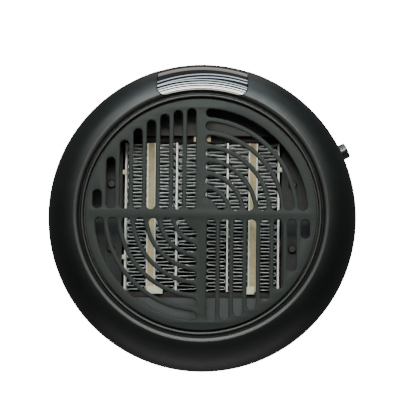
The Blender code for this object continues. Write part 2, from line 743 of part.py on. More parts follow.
def fan_shroud():
    inner = SHROUD_R - SHROUD_WALL
    flange_top = SHROUD_BACK + SPIDER_T
    profile = [
        (SHROUD_R, SHROUD_FRONT),
        (SHROUD_R, flange_top),
        (FLANGE_R, flange_top),
        (FLANGE_R, SHROUD_BACK),
        (inner, SHROUD_BACK),
        (inner, SHROUD_FRONT),
    ]
    ring = turned("fan_shroud", profile, 32)
    joined = each_at(BAFFLE_SCREWS, "post", POST_R, CASE_BACK + WALL + GAP, BAFFLE_BACK - GAP, 12)
    seat_h = (SHROUD_BACK + ARM_STEP / 2, flange_top - ARM_STEP / 2)
    joined.append(disc("seat", MOTOR_R + 1.5 * MM, *seat_h))
    reach = inner + 1.0 * MM
    arm_h = (SHROUD_BACK + ARM_STEP, flange_top - ARM_STEP)
    for i in range(2):
        turn = Matrix.Rotation(math.radians(45 + 90 * i), 4, "Y")
        joined.append(block("arm", (-reach, reach), (-2.5 * MM, 2.5 * MM), arm_h, 0.0, turn))
    ring = join_bodies(ring, joined)
    hole_h = (BAFFLE_BACK - BAFFLE_SCREW_BITE - 2.0 * MM, BAFFLE_BACK + OVERCUT)
    holes = each_at(BAFFLE_SCREWS, "hole", BAFFLE_SCREW_R + GAP, *hole_h, 10)
    ring = join_bodies(ring, [one_cutter("post_holes", holes)], "DIFFERENCE")
    return finish_part(ring, "fan_shroud", (0.03, 0.03, 0.03), 0.5)


def fan_motor():
    bore = SHAFT_R + GAP
    rear_step = MOTOR_BACK + BUSH_L + 2 * GAP
    front_step = MOTOR_FRONT - BUSH_L - 2 * GAP
    profile = [
        (MOTOR_R, MOTOR_FRONT),
        (MOTOR_R, MOTOR_BACK),
        (BUSH_HOLE, MOTOR_BACK),
        (BUSH_HOLE, rear_step),
        (bore, rear_step),
        (bore, front_step),
        (BUSH_HOLE, front_step),
        (BUSH_HOLE, MOTOR_FRONT),
    ]
    finish_part(turned("fan_motor", profile, 20), "fan_motor", (0.35, 0.36, 0.37), 0.4, 0.8)
    bushes = {"motor_bush_rear": MOTOR_BACK + GAP, "motor_bush_front": MOTOR_FRONT - GAP - BUSH_L}
    for name, low in bushes.items():
        ring = [(BUSH_R, low + BUSH_L), (BUSH_R, low), (bore, low), (bore, low + BUSH_L)]
        finish_part(turned(name, ring, 14), name, (0.5, 0.33, 0.15), 0.4, 1.0)
    shaft = disc("motor_shaft", SHAFT_R, MOTOR_BACK + GAP, HUB_FRONT - HUB_WALL - GAP, steps=14)
    finish_part(held_at(shaft, (0.0, -HUB_BACK, 0.0)), "motor_shaft", (0.6, 0.6, 0.62), 0.25, 1.0)


def fan_blade(index):
    """A twisted sheet from inside the hub's wall to the tip, thickened."""
    stations, across = 4, 3
    root = HUB_R - HUB_WALL / 2
    middle = (HUB_BACK + HUB_FRONT) / 2
    verts, faces = [], []
    for i in range(stations):
        part = i / (stations - 1)
        r = root + (FAN_R - root) * part
        pitch = math.radians(38 - 14 * part)
        chord = (13 + 9 * part) * MM
        for j in range(across):
            along = (j / (across - 1) - 0.5) * chord
            turn = math.tau * index / FAN_BLADES + along * math.cos(pitch) / r
            h = middle + along * math.sin(pitch)
            verts.append((r * math.cos(turn), -h, r * math.sin(turn)))
    for i in range(stations - 1):
        for j in range(across - 1):
            a = i * across + j
            faces.append((a, a + 1, a + across + 1, a + across))
    mesh = bpy.data.meshes.new("blade")
    mesh.from_pydata(verts, [], faces)
    piece = new_object("blade", mesh)
    thick = piece.modifiers.new("thick", "SOLIDIFY")
    thick.thickness = BLADE_T
    thick.offset = 0.0
    return baked(piece)


def fan_impeller():
    inner = HUB_R - HUB_WALL
    chamfer = 1.5 * MM
    profile = [
        (0.0, HUB_FRONT),
        (HUB_R - chamfer, HUB_FRONT),
        (HUB_R, HUB_FRONT - chamfer),
        (HUB_R, HUB_BACK),
        (inner, HUB_BACK),
        (inner, HUB_FRONT - HUB_WALL),
        (0.0, HUB_FRONT - HUB_WALL),
    ]
    hub = turned("fan_impeller", profile, 28, closed=False)
    hub = join_bodies(hub, [fan_blade(i) for i in range(FAN_BLADES)])
    held_at(hub, (0.0, -HUB_BACK, 0.0))
    return finish_part(hub, "fan_impeller", (0.05, 0.05, 0.05), 0.45)


# --------------------------------------------------------------------------------------------------
# Turning plug
# --------------------------------------------------------------------------------------------------


def plug():
    edge = 0.8 * MM
    profile = [
        (0.0, FLANGE_IN_FRONT),
        (FLANGE_IN_R, FLANGE_IN_FRONT),
        (FLANGE_IN_R, FLANGE_IN_BACK),
        (NECK_R, FLANGE_IN_BACK),
        (NECK_R, NECK_FLARE),
        (PLUG_FACE_R, edge),
        (PLUG_FACE_R - edge, 0.0),
        (0.0, 0.0),
    ]
    body = turned("plug_swivel", profile, 36, closed=False)
    half_t = PIN_T / 2 + GAP
    half_w = PIN_W / 2 + GAP
    through = (-OVERCUT, FLANGE_IN_FRONT + OVERCUT)
    pins = (-PIN_PITCH / 2, PIN_PITCH / 2)
    cuts = [block("cut", (x - half_t, x + half_t), (-half_w, half_w), through) for x in pins]
    body = join_bodies(body, [one_cutter("pin_cuts", cuts)], "DIFFERENCE")
    finish_part(body, "plug_swivel", BLACK, 0.5)
    pin_h = (-PIN_L, FLANGE_IN_FRONT)
    for name, x in zip(("plug_blade_left", "plug_blade_right"), pins):
        across = (x - PIN_T / 2, x + PIN_T / 2)
        piece = block(name, across, (-PIN_W / 2, PIN_W / 2), pin_h, 0.3 * MM)
        finish_part(piece, name, (0.72, 0.68, 0.6), 0.3, 1.0)
    low = FLANGE_IN_FRONT + GAP
    rings = (("contact_ring_inner", 4.3 * MM, 8.8 * MM), ("contact_ring_outer", 13.0 * MM, 17.0 * MM))
    for name, inner, outer in rings:
        ring = [(outer, low + RING_T), (outer, low), (inner, low), (inner, low + RING_T)]
        finish_part(turned(name, ring, 28), name, (0.6, 0.45, 0.2), 0.35, 1.0)


def plug_retainer():
    low = FLANGE_IN_FRONT + GAP
    wall = FLANGE_IN_R + 0.5 * MM
    foot = CASE_BACK + WALL + GAP
    profile = [
        (RETAINER_R, low + RETAINER_T),
        (RETAINER_R, foot),
        (wall, foot),
        (wall, low),
        (RETAINER_IN_R, low),
        (RETAINER_IN_R, low + RETAINER_T),
    ]
    finish_part(turned("plug_retainer", profile, 32), "plug_retainer", (0.04, 0.04, 0.04), 0.5)
    top = low + RING_T
    width = (-2.0 * MM, 2.0 * MM)
    copper = (0.7, 0.45, 0.25)
    leaf = block("contact_brush_inner", (5.0 * MM, 19.2 * MM), width, (top + 1.1 * MM, top + 1.6 * MM))
    tip = block("tip", (5.0 * MM, 7.5 * MM), width, (top + GAP, top + 1.3 * MM))
    finish_part(join_bodies(leaf, [tip]), "contact_brush_inner", copper, 0.35, 1.0)
    leaf = block("contact_brush_outer", (-19.2 * MM, -14.0 * MM), width, (top + GAP, top + 0.8 * MM))
    finish_part(leaf, "contact_brush_outer", copper, 0.35, 1.0)


# --------------------------------------------------------------------------------------------------
# Electrics
# --------------------------------------------------------------------------------------------------


def electrics():
    green = (0.02, 0.12, 0.05)
    board = (BOARD_BACK, BOARD_BACK + BOARD_T)
    piece = block("main_board", (-BOARD_HALF, BOARD_HALF), (BOARD_LOW, BOARD_HIGH), board)
    finish_part(piece, "main_board", green, 0.5)
    on = board[1] + GAP
    for name, x, z, tall, colour in (
        ("relay", (-22, -6), (-72, -58), 12, (0.02, 0.05, 0.2)),
        ("capacitor", (0, 16), (-72, -64), 10, (0.5, 0.4, 0.05)),
        ("terminal_block", (-2, 14), (-61, -54), 9, (0.03, 0.2, 0.08)),
    ):
        spot = block(name, [v * MM for v in x], [v * MM for v in z], (on, on + tall * MM), 0.5 * MM)
        finish_part(spot, name, colour, 0.45)
    body_h = (BAFFLE_BACK - 7.0 * MM, BAFFLE_BACK - GAP)
    can = disc("thermostat", 6.0 * MM, *body_h, -22.0 * MM, 54.5 * MM, 20)
    finish_part(can, "thermostat", (0.6, 0.6, 0.6), 0.35, 0.9)
    ends = [(x * MM, -BAFFLE_BACK + 4.0 * MM, 52.0 * MM) for x in (10, 24)]
    fuse = wire("thermal_fuse", ends, 2.0 * MM)
    finish_part(fuse, "thermal_fuse", (0.7, 0.68, 0.6), 0.4, 0.5)


def display():
    turn = Matrix.Rotation(math.radians(-64), 4, "X")
    outward = Vector((0.0, -0.44, 0.898))
    middle = Vector((0.0, -(CASE_FRONT - 15.8 * MM), SLEEVE_R + 6.6 * MM))
    for name, half_x, half_l, thick, lift, colour in (
        ("display_board", 23.0, 9.0, 1.6, 0.0, (0.02, 0.12, 0.05)),
        ("led_display", 15.0, 4.5, 3.6, 2.9, (0.05, 0.05, 0.055)),
    ):
        spot = middle + outward * lift * MM
        x = (-half_x * MM, half_x * MM)
        z = (spot.z - half_l * MM, spot.z + half_l * MM)
        h = (-spot.y - thick * MM / 2, -spot.y + thick * MM / 2)
        finish_part(block(name, x, z, h, 0.0, turn), name, colour, 0.4)


front_bezel()
display_window()
front_grille()
rear_housing()
side_button()
button_spring()
power_switch()
baffle_plate()
core()
core_fittings()
fan_shroud()
fan_motor()
fan_impeller()
plug()
plug_retainer()
electrics()
display()
for number, (screw_x, screw_z) in enumerate(SCREW_PLACES, 1):
    head = WELL_TOP - WELL_FLOOR - GAP
    head_h = (head - SCREW_HEAD_T, head)
    shank_end = SEAM + 10.0 * MM
    round_screw(f"case_screw_{number}", SCREW_HEAD_R, *head_h, SCREW_R, shank_end, screw_x, screw_z)
for number, (screw_x, screw_z) in enumerate(BAFFLE_SCREWS, 1):
    head = BAFFLE_FRONT + GAP
    head_h = (head, head + BAFFLE_SCREW_HEAD_T)
    size = (BAFFLE_SCREW_HEAD_R, *head_h, BAFFLE_SCREW_R, BAFFLE_BACK - BAFFLE_SCREW_BITE)
    round_screw(f"baffle_screw_{number}", *size, screw_x, screw_z)
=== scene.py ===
"""Looks of the round plug-in ceramic heater: fine meshes and procedural materials on the frame."""

import json
import math
import random

import bmesh
import bpy
from mathutils import Matrix, Vector


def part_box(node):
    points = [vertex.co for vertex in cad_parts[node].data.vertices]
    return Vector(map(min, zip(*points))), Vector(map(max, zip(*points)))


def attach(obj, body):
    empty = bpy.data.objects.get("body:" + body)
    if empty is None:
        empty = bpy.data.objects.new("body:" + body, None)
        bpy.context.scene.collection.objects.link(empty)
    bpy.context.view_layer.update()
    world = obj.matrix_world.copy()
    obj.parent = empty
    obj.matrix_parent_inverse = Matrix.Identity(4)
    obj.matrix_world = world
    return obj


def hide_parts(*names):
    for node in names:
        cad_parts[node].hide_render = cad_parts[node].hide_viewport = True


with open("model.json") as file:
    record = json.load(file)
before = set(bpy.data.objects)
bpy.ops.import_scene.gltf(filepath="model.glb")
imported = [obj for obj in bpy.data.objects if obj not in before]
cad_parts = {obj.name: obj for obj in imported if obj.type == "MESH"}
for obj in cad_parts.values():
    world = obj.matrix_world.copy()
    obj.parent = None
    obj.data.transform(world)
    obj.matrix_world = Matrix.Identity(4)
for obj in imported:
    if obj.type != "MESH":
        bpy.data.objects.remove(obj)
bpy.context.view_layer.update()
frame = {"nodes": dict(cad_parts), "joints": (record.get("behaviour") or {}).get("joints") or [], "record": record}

nodes = frame["nodes"]
record = frame["record"]
slot_of = {entry["node"]: entry["material_slot"] for entry in record["subparts"]}
body_of = {
    node: body for body, members in record["behaviour"]["bodies"].items() for node in members
}
joint_of = {joint["name"]: joint for joint in frame["joints"]}

MM = 0.001
random.seed(7)


def edges(node):
    """(lowest corner, highest corner) of a CAD node as vectors."""
    low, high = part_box(node)
    return Vector(low), Vector(high)


# Distances out from the wall are called heights (h = -y). These come from the frame.
bezel_low, bezel_high = edges("front_bezel")
grille_low, grille_high = edges("front_grille")
plug_low, plug_high = edges("plug_swivel")
CASE_R = bezel_high.x
CASE_FRONT = -bezel_low.y
CASE_BACK = -edges("rear_housing")[1].y
BAFFLE_FRONT = -edges("baffle_plate")[0].y
GRILLE_R = grille_high.x
GRILLE_FRONT = -grille_low.y
GRILLE_BACK = -grille_high.y
PLUG_FRONT = -plug_low.y
window_high = edges("display_window")[1]

# Case
GAP = 0.3 * MM  # between neighbouring pieces
WALL = 2.5 * MM
SEAM = CASE_BACK + 32 * MM  # where the case is widest
CREST_INSET = 18.6 * MM  # from the widest radius in to the rim's crest
BACK_ROUNDING = 17.5 * MM  # from the widest radius in to the flat back
CASE_STEPS = 192
BORE_R = GRILLE_R + 0.9 * MM
LIP = GRILLE_FRONT + 0.6 * MM
LEDGE = 2.4 * MM
LEDGE_T = 2.0 * MM
SLEEVE_WALL = 1.6 * MM
TONGUE_T = 2.2 * MM
TONGUE_RISE = 2.8 * MM
TONGUE_ROOT = 6.5 * MM
PAST = 2 * MM  # by which a cutter passes what it cuts

# Window in the rim
WINDOW_FOOT = 68.6 * MM  # radius of its lower edge
WINDOW_CORNER = 5.0 * MM
WINDOW_T = 2.0 * MM
WINDOW_SINK = 0.12 * MM  # of its surface below the rim's
WINDOW_CLEAR = 0.35 * MM
LENS_STEPS = 240

# Grille
SLOT_R = 4.9 * MM / 2
SLOT_PITCH = 7.4 * MM
SLOT_FIRST = 5.7 * MM
SLOT_REACH = 59.0 * MM
STRAIGHT_SLOTS = 8
BAR_HALF = 2.6 * MM
ARC_FIRST = 12.0 * MM
ARC_END = 2.3 * MM
ARC_SLOTS = 7
GRILLE_EDGE = 0.45 * MM

# Rear housing
SCREW_RING = 71 * MM
SCREW_TURNS = [math.radians(a) for a in (45, 135, 225, 315)]
SCREW_PLACES = [(SCREW_RING * math.cos(a), SCREW_RING * math.sin(a)) for a in SCREW_TURNS]
SCREW_HOLE_R = 1.7 * MM
WELL_R = 5.2 * MM
WELL_BORE_R = 3.6 * MM
WELL_TOP = SEAM - 4.0 * MM
WELL_SINK = 0.2 * MM
NECK_HOLE_R = 24.0 * MM
COLLAR_R = 30.0 * MM
INTAKE_COUNT = 24
INTAKE_R = 1.8 * MM  # half of a slot's width
INTAKE_IN = 47 * MM
INTAKE_OUT = 62 * MM

# Side button. Its travel leaves the case at this angle, at this height above the wall.
button_axis = joint_of["button_press"]["axis"]
BUTTON_TURN = math.atan2(-button_axis[2], -button_axis[0])
BUTTON_H = 47 * MM
BUTTON_R = 4.5 * MM
BUTTON_TOP = CASE_R + 5.0 * MM
BUTTON_HOLE_R = 4.8 * MM
BUTTON_HOLE_REACH = 9 * MM  # either side of the case's surface
BUTTON_FLANGE = CASE_R - 5.8 * MM
BUTTON_FLANGE_R = 6.0 * MM
BUTTON_STEM_R = 1.4 * MM
BUTTON_STEM_L = 7.0 * MM
ALONG_BUTTON = (
    Matrix.Translation((0, -BUTTON_H, 0))
    @ Matrix.Rotation(math.radians(90) - BUTTON_TURN, 4, "Y")
    @ Matrix.Rotation(math.radians(-90), 4, "X")
)

# Turning plug
NECK_R = 23.7 * MM
GROOVE = 0.5 * MM
BLADE_SLOT_X = 1.0 * MM  # half sizes
BLADE_SLOT_Z = 3.4 * MM

# Ceramic core
FIN_ROWS = [f"fin_row_{i}" for i in range(1, 7)]
FIN_LEGS = 43
FIN_T = 0.22 * MM
FIN_BEND = 0.42  # of a leg's pitch
FIN_WOBBLE = 0.16 * MM
FIN_SHORT = 0.25 * MM
STRIPS = [f"ptc_strip_{i}" for i in range(1, 4)]
STRIP_SKIN = 0.55 * MM
STRIP_SINK = 0.7 * MM
STRIP_SLOPE = 0.15 * MM
STRIP_LEVELS = 9


# --------------------------------------------------------------------------------------------------
# Node helpers and materials
# --------------------------------------------------------------------------------------------------


class Shader:
    """A Principled material with short calls for the nodes that feed it."""

    def __init__(self, name, roughness=0.5, metallic=0.0, **sockets):
        self.material = bpy.data.materials.new(name)
        self.material.use_nodes = True
        self.tree = self.material.node_tree
        self.main = self.tree.nodes["Principled BSDF"]
        self.set("Roughness", roughness)
        self.set("Metallic", metallic)
        for socket, value in sockets.items():
            self.set(socket.replace("_", " "), value)
        self.place = self.tree.nodes.new("ShaderNodeTexCoord").outputs["Object"]

    def set(self, socket, value):
        self.main.inputs[socket].default_value = value

    def link(self, output, target):
        self.tree.links.new(output, target)

    def stretched(self, scale):
        mapping = self.tree.nodes.new("ShaderNodeMapping")
        mapping.inputs["Scale"].default_value = scale
        self.link(self.place, mapping.inputs["Vector"])
        return mapping.outputs["Vector"]

    def noise(self, scale, detail=4.0, rough=0.55, stretch=None):
        node = self.tree.nodes.new("ShaderNodeTexNoise")
        node.inputs["Scale"].default_value = scale
        node.inputs["Detail"].default_value = detail
        node.inputs["Roughness"].default_value = rough
        self.link(self.stretched(stretch) if stretch else self.place, node.inputs["Vector"])
        return node.outputs["Fac"]

    def cells(self, scale):
        node = self.tree.nodes.new("ShaderNodeTexVoronoi")
        node.inputs["Scale"].default_value = scale
        self.link(self.place, node.inputs["Vector"])
        return node.outputs["Distance"]

    def ramp(self, value, stops):
        node = self.tree.nodes.new("ShaderNodeValToRGB")
        node.color_ramp.elements[0].position = stops[0][0]
        node.color_ramp.elements[0].color = (*stops[0][1], 1.0)
        node.color_ramp.elements[1].position = stops[-1][0]
        node.color_ramp.elements[1].color = (*stops[-1][1], 1.0)
        for position, colour in stops[1:-1]:
            node.color_ramp.elements.new(position).color = (*colour, 1.0)
        self.link(value, node.inputs["Fac"])
        return node.outputs["Color"]

    def spread(self, value, low, high):
        node = self.tree.nodes.new("ShaderNodeMapRange")
        node.inputs["To Min"].default_value = low
        node.inputs["To Max"].default_value = high
        self.link(value, node.inputs["Value"])
        return node.outputs["Result"]

    def colour(self, output):
        self.link(output, self.main.inputs["Base Color"])
        return self

    def rough(self, output):
        self.link(output, self.main.inputs["Roughness"])
        return self

    def bump(self, height, strength, distance):
        node = self.tree.nodes.new("ShaderNodeBump")
        node.inputs["Strength"].default_value = strength
        node.inputs["Distance"].default_value = distance
        self.link(height, node.inputs["Height"])
        if self.main.inputs["Normal"].is_linked:
            self.link(self.main.inputs["Normal"].links[0].from_socket, node.inputs["Normal"])
        self.link(node.outputs["Normal"], self.main.inputs["Normal"])
        return self


def moulded(name, dark, light, roughness, grain=900.0, strength=0.12, **sockets):
    """Moulded plastic: slight tone drift, a fine spark-eroded grain and faint handling smears."""
    made = Shader(name, roughness, **sockets)
    drift = made.noise(22.0, 5.0, 0.6)
    made.colour(made.ramp(drift, [(0.30, dark), (0.72, light)]))
    smear = made.noise(60.0, 6.0, 0.65, stretch=(1.0, 0.6, 1.6))
    made.rough(made.spread(smear, roughness - 0.07, roughness + 0.09))
    made.bump(made.noise(grain, 3.0, 0.6), strength, 0.0001)
    made.bump(made.cells(grain * 1.7), strength * 0.5, 0.00005)
    return made.material


def metal(name, dark, light, roughness, brush=(1.0, 1.0, 1.0), scratch=0.15, metallic=1.0):
    """Metal with drawn streaks and a mottled tone."""
    made = Shader(name, roughness, metallic)
    streak = made.noise(420.0, 6.0, 0.7, stretch=brush)
    made.colour(made.ramp(streak, [(0.28, dark), (0.75, light)]))
    mottle = made.noise(180.0, 4.0, 0.6, stretch=brush)
    made.rough(made.spread(mottle, roughness - 0.08, roughness + 0.14))
    made.bump(streak, scratch, 0.00008)
    return made.material


def ceramic(name, dark, light, spot, roughness=0.62):
    """Unglazed ceramic or mica film: pale mottling, dark specks and a chalky grain."""
    made = Shader(name, roughness)
    made.colour(made.ramp(made.noise(260.0, 6.0, 0.7), [(0.22, spot), (0.38, dark), (0.70, light)]))
    made.rough(made.spread(made.noise(500.0), roughness - 0.1, roughness + 0.12))
    made.bump(made.noise(1400.0, 4.0, 0.6), 0.25, 0.0001)
    return made.material


def smoked_gloss(name):
    """Smoked glossy window: near black, clear-coated, with hair scratches and faint ripples."""
    coat = {"Coat_Weight": 1.0, "Coat_Roughness": 0.015, "Coat_IOR": 1.55}
    made = Shader(name, 0.05, Specular_IOR_Level=0.9, **coat)
    tones = [(0.3, (0.004, 0.005, 0.006)), (0.7, (0.010, 0.012, 0.014))]
    made.colour(made.ramp(made.noise(40.0, 3.0), tones))
    made.rough(made.spread(made.noise(900.0, 5.0, 0.7, stretch=(0.15, 1.0, 2.0)), 0.02, 0.07))
    made.bump(made.noise(60.0, 2.0, 0.5, stretch=(0.5, 1.0, 1.0)), 0.05, 0.0004)
    return made.material


def baffle(name, side, light, painted_light_to=40 * MM, painted_shade_from=45 * MM):
    """Matte sheet with painted light in its middle, above and below the core, and painted shade at its sides."""
    made = Shader(name, 0.6)
    apart = made.tree.nodes.new("ShaderNodeSeparateXYZ")
    made.link(made.place, apart.inputs["Vector"])
    across = made.tree.nodes.new("ShaderNodeMath")
    across.operation = "ABSOLUTE"
    made.link(apart.outputs["X"], across.inputs[0])
    near = made.tree.nodes.new("ShaderNodeMapRange")
    near.inputs["From Min"].default_value = painted_light_to
    near.inputs["From Max"].default_value = painted_shade_from
    made.link(across.outputs["Value"], near.inputs["Value"])
    # painted light towards the middle, painted shade towards the sides
    made.colour(made.ramp(near.outputs["Result"], [(0.0, light), (1.0, side)]))
    made.rough(made.spread(made.noise(60.0, 6.0, 0.65), 0.52, 0.70))
    made.bump(made.noise(800.0, 3.0, 0.6), 0.2, 0.0001)
    made.bump(made.noise(90.0, 3.0, 0.5), 0.3, 0.0006)
    return made.material


def circuit(name, dark, light):
    """Solder mask over copper tracks."""
    made = Shader(name, 0.4, Coat_Weight=0.3)
    tracks = made.cells(520.0)
    made.colour(made.ramp(tracks, [(0.10, light), (0.30, dark), (0.80, dark)]))
    made.rough(made.spread(made.noise(300.0), 0.32, 0.5))
    made.bump(tracks, 0.2, 0.0001)
    return made.material


MATERIALS = {
    "case_black": moulded(
        "case_black",
        (0.0032, 0.0044, 0.0042),
        (0.0052, 0.0068, 0.0064),
        0.40,
        1100.0,
        0.08,
        Specular_IOR_Level=0.45,
    ),
    "grille_grey": moulded(
        "grille_grey",
        (0.0130, 0.0168, 0.0155),
        (0.0185, 0.0230, 0.0214),
        0.55,
        1000.0,
        0.14,
        Specular_IOR_Level=0.2,
    ),
    # the baffle is painted paler in the middle and darker at the sides, as painted light and shade
    "baffle_grey": baffle("baffle_grey", (0.012, 0.014, 0.016), (0.060, 0.068, 0.070)),
    "smoked_window": smoked_gloss("smoked_window"),
    "button_black": moulded(
        "button_black", (0.008, 0.008, 0.009), (0.012, 0.012, 0.013), 0.22, 700.0, 0.05
    ),
    "plug_black": moulded("plug_black", (0.014, 0.015, 0.015), (0.020, 0.021, 0.021), 0.50, 700.0, 0.2),
    "inner_black": moulded("inner_black", (0.016, 0.016, 0.016), (0.026, 0.026, 0.026), 0.55, 700.0, 0.15),
    "holder_brown": ceramic(
        "holder_brown", (0.008, 0.006, 0.005), (0.016, 0.012, 0.010), (0.004, 0.003, 0.003)
    ),
    "fin_aluminium": metal(
        "fin_aluminium", (0.74, 0.76, 0.77), (0.96, 0.98, 0.98), 0.32, (1.0, 6.0, 1.0), metallic=0.72
    ),
    "plate_aluminium": metal(
        "plate_aluminium", (0.72, 0.72, 0.69), (0.98, 0.98, 0.95), 0.42, (1.0, 1.0, 0.1), 0.1, 0.3
    ),
    "ceramic_tan": ceramic("ceramic_tan", (0.42, 0.35, 0.19), (0.62, 0.54, 0.32), (0.20, 0.16, 0.09)),
    "ceramic_cream": ceramic("ceramic_cream", (0.78, 0.78, 0.56), (0.95, 0.95, 0.74), (0.50, 0.48, 0.32)),
    "contact_brass": metal("contact_brass", (0.26, 0.21, 0.14), (0.42, 0.35, 0.25), 0.42),
    "blade_metal": metal("blade_metal", (0.58, 0.56, 0.50), (0.80, 0.77, 0.70), 0.26, (1.0, 0.1, 1.0)),
    "screw_black": metal("screw_black", (0.030, 0.030, 0.032), (0.060, 0.060, 0.064), 0.45),
    "steel": metal("steel", (0.36, 0.36, 0.37), (0.60, 0.60, 0.61), 0.34),
    "board_green": circuit("board_green", (0.010, 0.080, 0.030), (0.030, 0.170, 0.070)),
    "relay_blue": moulded("relay_blue", (0.010, 0.040, 0.160), (0.020, 0.060, 0.220), 0.35),
    "capacitor_yellow": moulded("capacitor_yellow", (0.40, 0.31, 0.04), (0.52, 0.42, 0.07), 0.32),
    "terminal_green": moulded("terminal_green", (0.020, 0.150, 0.060), (0.035, 0.210, 0.090), 0.45),
    "display_dark": moulded("display_dark", (0.030, 0.030, 0.034), (0.050, 0.050, 0.056), 0.25),
    "fuse_white": ceramic("fuse_white", (0.60, 0.58, 0.50), (0.76, 0.74, 0.66), (0.40, 0.38, 0.33)),
}


# --------------------------------------------------------------------------------------------------
# Mesh helpers
# --------------------------------------------------------------------------------------------------


def link(piece):
    bpy.context.scene.collection.objects.link(piece)
    return piece


def tidy(mesh, weld=1e-6):
    """Welds the mesh's doubles and turns its faces outwards."""
    work = bmesh.new()
    work.from_mesh(mesh)
    bmesh.ops.remove_doubles(work, verts=work.verts, dist=weld)
    bmesh.ops.recalc_face_normals(work, faces=work.faces)
    work.to_mesh(mesh)
    work.free()


def add(name, verts, faces):
    mesh = bpy.data.meshes.new(name)
    mesh.from_pydata(verts, [], faces)
    tidy(mesh)
    return link(bpy.data.objects.new(name, mesh))


def turned(name, profile, steps, closed=True, place=None):
    """A turned solid about Y from (radius, height) points; place moves it from the heater's axis."""
    count = len(profile)
    verts = []
    for i in range(steps):
        a = math.tau * i / steps
        verts += [Vector((r * math.cos(a), -h, r * math.sin(a))) for r, h in profile]
    if place:
        verts = [place @ v for v in verts]
    faces = []
    for i in range(steps):
        this = i * count
        other = ((i + 1) % steps) * count
        for j in range(count if closed else count - 1):
            k = (j + 1) % count
            faces.append((this + j, this + k, other + k, other + j))
    return add(name, verts, faces)


def rounded(points, passes=2, closed=False):
    """Corner cutting: rounds a coarse outline while staying inside it."""
    for _ in range(passes):
        made = [] if closed else [points[0]]
        last = len(points) if closed else len(points) - 1
        for i in range(last):
            here = Vector(points[i])
            after = Vector(points[(i + 1) % len(points)])
            made += [tuple(here.lerp(after, 0.25)), tuple(here.lerp(after, 0.75))]
        if not closed:
            made.append(points[-1])
        points = made
    return points


def outline_curve(name, outlines, low, high, bevel=0.0):
    """Flat outlines of (x, z) points, holes included, given thickness and rounded edges."""
    curve = bpy.data.curves.new(name, "CURVE")
    curve.dimensions = "2D"
    curve.fill_mode = "BOTH"
    curve.extrude = (high - low) / 2 - bevel
    curve.bevel_depth = bevel
    curve.bevel_resolution = 2
    curve.offset = -bevel
    for outline in outlines:
        spline = curve.splines.new("POLY")
        spline.points.add(len(outline) - 1)
        for point, (x, z) in zip(spline.points, outline):
            point.co = (x, z, 0.0, 1.0)
        spline.use_cyclic_u = True
    holder = link(bpy.data.objects.new(name, curve))
    upright = Matrix.Rotation(math.radians(90), 4, "X")
    holder.matrix_world = Matrix.Translation((0, -(low + high) / 2, 0)) @ upright
    bpy.context.view_layer.update()
    seen = holder.evaluated_get(bpy.context.evaluated_depsgraph_get())
    mesh = bpy.data.meshes.new_from_object(seen)
    mesh.transform(holder.matrix_world)
    bpy.data.objects.remove(holder, do_unlink=True)
    mesh.name = name
    tidy(mesh)
    return link(bpy.data.objects.new(name, mesh))


def combine(piece, others, operation):
    """Booleans the others, taken as one, into the piece, applies it and removes them."""
    work = bmesh.new()
    for other in others:
        work.from_mesh(other.data)
    mesh = bpy.data.meshes.new("tool")
    work.to_mesh(mesh)
    work.free()
    tool = link(bpy.data.objects.new("tool", mesh))
    step = piece.modifiers.new("cut", "BOOLEAN")
    step.operation = operation
    step.solver = "EXACT"
    step.object = tool
    bpy.context.view_layer.update()
    seen = piece.evaluated_get(bpy.context.evaluated_depsgraph_get())
    made = bpy.data.meshes.new_from_object(seen)
    piece.modifiers.clear()
    piece.data = made
    tidy(made)
    for other in [tool] + list(others):
        bpy.data.objects.remove(other, do_unlink=True)
    return piece


def material_of(node):
    """The node's finish. Screws are blackened, whatever the rest of the steel is."""
    return MATERIALS["screw_black" if "screw" in node else slot_of[node]]


def finish_piece(piece, node, angle):
    """Gives a piece the node's material, body and slot, smooths it and hides the node."""
    piece.name = f"{node}_fine"
    if not piece.data.materials:
        piece.data.materials.append(material_of(node))
    piece.data.shade_smooth()
    piece.data.set_sharp_from_angle(angle=math.radians(angle))
    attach(piece, body_of[node])
    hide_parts(node)


def arc(radius, start, end, count):
    """Points on a circle round the origin, angles in radians."""
    turns = [start + (end - start) * i / count for i in range(count + 1)]
    return [(radius * math.cos(turn), radius * math.sin(turn)) for turn in turns]


def ellipse(centre_r, centre_h, across, along, start, end, count):
    """(radius, height) points on an ellipse, angles in degrees from straight out."""
    made = []
    for i in range(count + 1):
        turn = math.radians(start + (end - start) * i / count)
        made.append((centre_r + across * math.cos(turn), centre_h + along * math.sin(turn)))
    return made


def rim(inset, start, end, count):
    """The case's section in front of the seam, or the same section further in."""
    across = CREST_INSET - inset
    along = CASE_FRONT - SEAM - inset
    return ellipse(CASE_R - CREST_INSET, SEAM, across, along, start, end, count)


def back(inset, start, end, count):
    """The case's section behind the seam, or the same section further in."""
    top = SEAM - GAP
    across = BACK_ROUNDING - inset
    along = top - CASE_BACK - inset
    return ellipse(CASE_R - BACK_ROUNDING, top, across, along, start, end, count)


# --------------------------------------------------------------------------------------------------
# Case
# --------------------------------------------------------------------------------------------------

# Millimetres out from the bore and up from the lip: a soft edge, then a groove round the grille
LIP_SHAPE = [(0.0, -1.4), (0.1, -0.3), (0.9, 0.05), (1.7, -0.15), (2.1, -1.0), (2.6, -1.0), (3.1, 0.2)]


def window_outline(grow):
    """Front view of the rim's window: upright sides, a lower edge round the grille, round corners."""
    half = window_high.x + grow
    foot = WINDOW_FOOT - grow
    reach = half - WINDOW_CORNER
    centre_z = math.sqrt((foot + WINDOW_CORNER) ** 2 - reach**2)
    tilt = math.atan2(centre_z, reach)
    right = [(half, CASE_R + 8 * MM)]
    for x, z in arc(WINDOW_CORNER, 0.0, tilt - math.pi, 8):
        right.append((reach + x, centre_z + z))
    low = arc(foot, tilt, math.pi - tilt, 40)[1:-1]
    left = [(-x, z) for x, z in reversed(right)]
    return right + low + left


